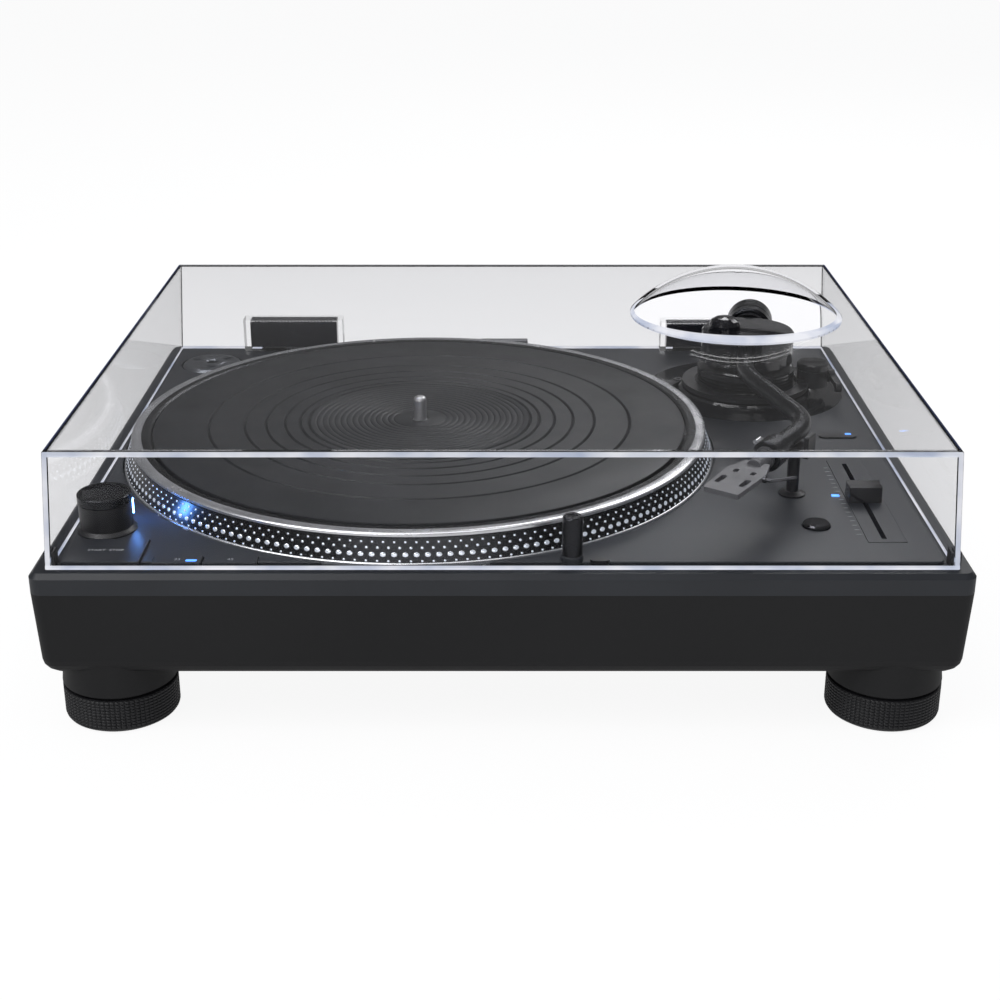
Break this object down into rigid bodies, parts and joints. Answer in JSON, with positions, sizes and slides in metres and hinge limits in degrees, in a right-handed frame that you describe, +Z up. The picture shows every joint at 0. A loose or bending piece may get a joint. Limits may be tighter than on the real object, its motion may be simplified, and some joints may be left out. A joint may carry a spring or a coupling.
{
  "type": "turntable",
  "caption": "Direct-drive record player with an S-shaped tonearm, pitch fader, adjustable feet and a clear hinged dust cover with a dome over the arm's pivot.",
  "frame": {"origin": "centre of the outline on the surface the feet stand on", "axes": "+X to the right seen from the front, -Y the front, +Z up; cover closed and arm on its rest"},
  "size_m": [0.453, 0.372, 0.173],
  "materials": {
    "chassis_paint": "fine-textured satin black with a blue-grey cast",
    "base_composite": "moulded matt black",
    "foot_plastic": "knurled matt black",
    "clear_acrylic": "clear polished acrylic",
    "soft_rubber": "soft grey-black rubber",
    "hinge_black": "satin black",
    "steel": "plain turned steel",
    "platter_black": "black with bright turned rims and silver strobe dots",
    "mat_rubber": "grooved rubber",
    "bright_steel": "polished",
    "magnet": "sintered ferrite",
    "copper_coil": "enamelled winding",
    "bearing_brass": "turned brass",
    "arm_black": "satin black anodised",
    "headshell_grey": "matt light grey anodised",
    "control_black": "satin black moulding",
    "button_grey": "satin black-grey",
    "strobe_lens": "lit blue-white lens",
    "lamp_metal": "dark anodised",
    "adapter_metal": "turned black anodised",
    "plate_metal": "bare brushed plate",
    "track_plastic": "black moulding",
    "nickel": "nickel and gilt",
    "board_green": "green board with parts"
  },
  "bodies": {
    "base": {"top_chassis": "chassis_paint", "base_housing": "base_composite", "bottom_screws": "steel", "spindle_bearing": "bearing_brass", "stator_plate": "steel", "stator_coils": "copper_coil", "power_supply": "board_green", "control_board": "board_green", "strobe_tower": "control_black", "strobe_window": "strobe_lens", "arm_base": "arm_black", "hinge_bases": "hinge_black", "hinge_pins": "steel", "nameplate": "plate_metal", "pitch_plate": "button_grey", "fader_track": "track_plastic", "terminal_panel": "track_plastic", "phono_jacks": "nickel", "mains_inlet": "track_plastic", "arm_rest": "control_black"},
    "platter": {"platter": "platter_black", "platter_mat": "mat_rubber", "spindle": "bright_steel", "rotor_yoke": "steel", "rotor_magnet": "magnet"},
    "adapter": {"adapter_45": "adapter_metal"},
    "power_dial": {"power_dial": "control_black"},
    "start_button": {"start_stop_button": "button_grey"},
    "speed_33": {"button_33": "button_grey"},
    "speed_45": {"button_45": "button_grey"},
    "reset": {"reset_button": "bright_steel"},
    "double_speed": {"button_x2": "control_black"},
    "lamp_key": {"lamp_button": "control_black"},
    "lamp": {"target_lamp": "lamp_metal"},
    "fader": {"pitch_fader": "control_black"},
    "earth": {"earth_knob": "control_black"},
    "height_ring": {"height_ring": "arm_black"},
    "pedestal": {"arm_pedestal": "arm_black", "control_pod": "control_black"},
    "lock_lever": {"arm_lock_lever": "control_black"},
    "anti_skate": {"anti_skate_dial": "control_black"},
    "cue": {"cue_lever": "control_black"},
    "lift": {"lift_platform": "control_black"},
    "gimbal": {"gimbal": "arm_black", "pivot_screws": "steel"},
    "arm": {"arm_tube": "arm_black", "headshell": "headshell_grey", "finger_lift": "bright_steel"},
    "collar": {"collar_nut": "arm_black"},
    "counterweight": {"counterweight": "arm_black"},
    "scale_ring": {"weight_scale_ring": "arm_black"},
    "clamp": {"arm_clamp": "bright_steel"},
    "cover": {"dust_cover": "clear_acrylic", "cover_dome": "clear_acrylic", "cover_cushions": "soft_rubber", "hinge_arms": "hinge_black"},
    "foot_front_left": {"foot_front_left": "foot_plastic"},
    "foot_front_right": {"foot_front_right": "foot_plastic"},
    "foot_rear_left": {"foot_rear_left": "foot_plastic"},
    "foot_rear_right": {"foot_rear_right": "foot_plastic"}
  },
  "joints": [
    {"name": "platter_spin", "type": "hinge", "parent": "base", "child": "platter", "pos_m": [-0.0465, -0.0117, 0.09], "axis": [0, 0, -1], "continuous": true},
    {"name": "adapter_lift", "type": "slide", "parent": "base", "child": "adapter", "axis": [0, 0, 1], "range_m": [0, 0.02]},
    {"name": "power_dial_turn", "type": "hinge", "parent": "base", "child": "power_dial", "pos_m": [-0.1989, -0.1325, 0.104], "axis": [0, 0, -1], "range_deg": [0, 45]},
    {"name": "start_stop_press", "type": "slide", "parent": "base", "child": "start_button", "axis": [0, 0, -1], "range_m": [0, 0.0013], "stiffness_N_per_m": 600, "springref_m": -0.0008},
    {"name": "speed_33_press", "type": "slide", "parent": "base", "child": "speed_33", "axis": [0, 0, -1], "range_m": [0, 0.001], "stiffness_N_per_m": 600, "springref_m": -0.0008},
    {"name": "speed_45_press", "type": "slide", "parent": "base", "child": "speed_45", "axis": [0, 0, -1], "range_m": [0, 0.001], "stiffness_N_per_m": 600, "springref_m": -0.0008},
    {"name": "reset_press", "type": "slide", "parent": "base", "child": "reset", "axis": [0, 0, -1], "range_m": [0, 0.001], "stiffness_N_per_m": 600, "springref_m": -0.0008},
    {"name": "double_speed_press", "type": "slide", "parent": "base", "child": "double_speed", "axis": [0, 0, -1], "range_m": [0, 0.001], "stiffness_N_per_m": 600, "springref_m": -0.0008},
    {"name": "lamp_key_press", "type": "slide", "parent": "base", "child": "lamp_key", "axis": [0, 0, -1], "range_m": [0, 0.001], "stiffness_N_per_m": 600, "springref_m": -0.0008},
    {"name": "lamp_slide", "type": "slide", "parent": "base", "child": "lamp", "axis": [0, 0, -1], "range_m": [0, 0.02]},
    {"name": "pitch_slide", "type": "slide", "parent": "base", "child": "fader", "axis": [0, 1, 0], "range_m": [-0.049, 0.049]},
    {"name": "earth_knob_turn", "type": "hinge", "parent": "base", "child": "earth", "pos_m": [0.128, 0.176, 0.058], "axis": [0, 1, 0], "range_deg": [-180, 180]},
    {"name": "foot_front_left_turn", "type": "hinge", "parent": "base", "child": "foot_front_left", "pos_m": [-0.193, -0.157, 0.01], "axis": [0, 0, 1], "range_deg": [-180, 180]},
    {"name": "foot_front_right_turn", "type": "hinge", "parent": "base", "child": "foot_front_right", "pos_m": [0.193, -0.157, 0.01], "axis": [0, 0, 1], "range_deg": [-180, 180]},
    {"name": "foot_rear_left_turn", "type": "hinge", "parent": "base", "child": "foot_rear_left", "pos_m": [-0.193, 0.155, 0.01], "axis": [0, 0, 1], "range_deg": [-180, 180]},
    {"name": "foot_rear_right_turn", "type": "hinge", "parent": "base", "child": "foot_rear_right", "pos_m": [0.193, 0.155, 0.01], "axis": [0, 0, 1], "range_deg": [-180, 180]},
    {"name": "height_ring_turn", "type": "hinge", "parent": "base", "child": "height_ring", "pos_m": [0.15022, 0.07506, 0.09], "axis": [0, 0, 1], "range_deg": [0, 320]},
    {"name": "arm_height", "type": "slide", "parent": "base", "child": "pedestal", "axis": [0, 0, 1], "range_m": [0, 0.006]},
    {"name": "lock_lever_turn", "type": "hinge", "parent": "base", "child": "lock_lever", "pos_m": [0.11137, 0.09572, 0.09], "axis": [0, 0, -1], "range_deg": [0, 40]},
    {"name": "anti_skate_turn", "type": "hinge", "parent": "pedestal", "child": "anti_skate", "pos_m": [0.19152, 0.07506, 0.106], "axis": [0, 0, -1], "range_deg": [0, 300]},
    {"name": "cue_lever_turn", "type": "hinge", "parent": "pedestal", "child": "cue", "pos_m": [0.20322, 0.07506, 0.1], "axis": [-1, 0, 0], "range_deg": [0, 60]},
    {"name": "lift_rise", "type": "slide", "parent": "pedestal", "child": "lift", "axis": [0, 0, 1], "range_m": [0, 0.0048]},
    {"name": "arm_yaw", "type": "hinge", "parent": "pedestal", "child": "gimbal", "pos_m": [0.15022, 0.07506, 0.12], "axis": [0, 0, -1], "range_deg": [0, 42]},
    {"name": "arm_pitch", "type": "hinge", "parent": "gimbal", "child": "arm", "pos_m": [0.15022, 0.07506, 0.12], "axis": [-0.986, 0.1668, 0], "range_deg": [0, 2.2]},
    {"name": "collar_turn", "type": "hinge", "parent": "arm", "child": "collar", "pos_m": [0.13911, -0.10743, 0.12], "axis": [-0.524, -0.8517, 0], "range_deg": [0, 90]},
    {"name": "counterweight_slide", "type": "slide", "parent": "arm", "child": "counterweight", "axis": [0.1668, 0.986, 0], "range_m": [-0.001, 0.007]},
    {"name": "scale_ring_turn", "type": "hinge", "parent": "counterweight", "child": "scale_ring", "pos_m": [0.15022, 0.07506, 0.12], "axis": [0.1668, 0.986, 0], "range_deg": [-180, 180]},
    {"name": "clamp_close", "type": "hinge", "parent": "base", "child": "clamp", "pos_m": [0.14646, -0.08143, 0.1126], "axis": [0.524, 0.8517, 0], "range_deg": [0, 80]},
    {"name": "cover_open", "type": "hinge", "parent": "base", "child": "cover", "pos_m": [0, 0.182, 0.091], "axis": [-1, 0, 0], "range_deg": [0, 65]}
  ],
  "couplings": [
    {"joint": "height_ring_turn", "follows": "arm_height", "rad_per_m": 930.75},
    {"joint": "cue_lever_turn", "follows": "lift_rise", "rad_per_m": 218.14}
  ]
}
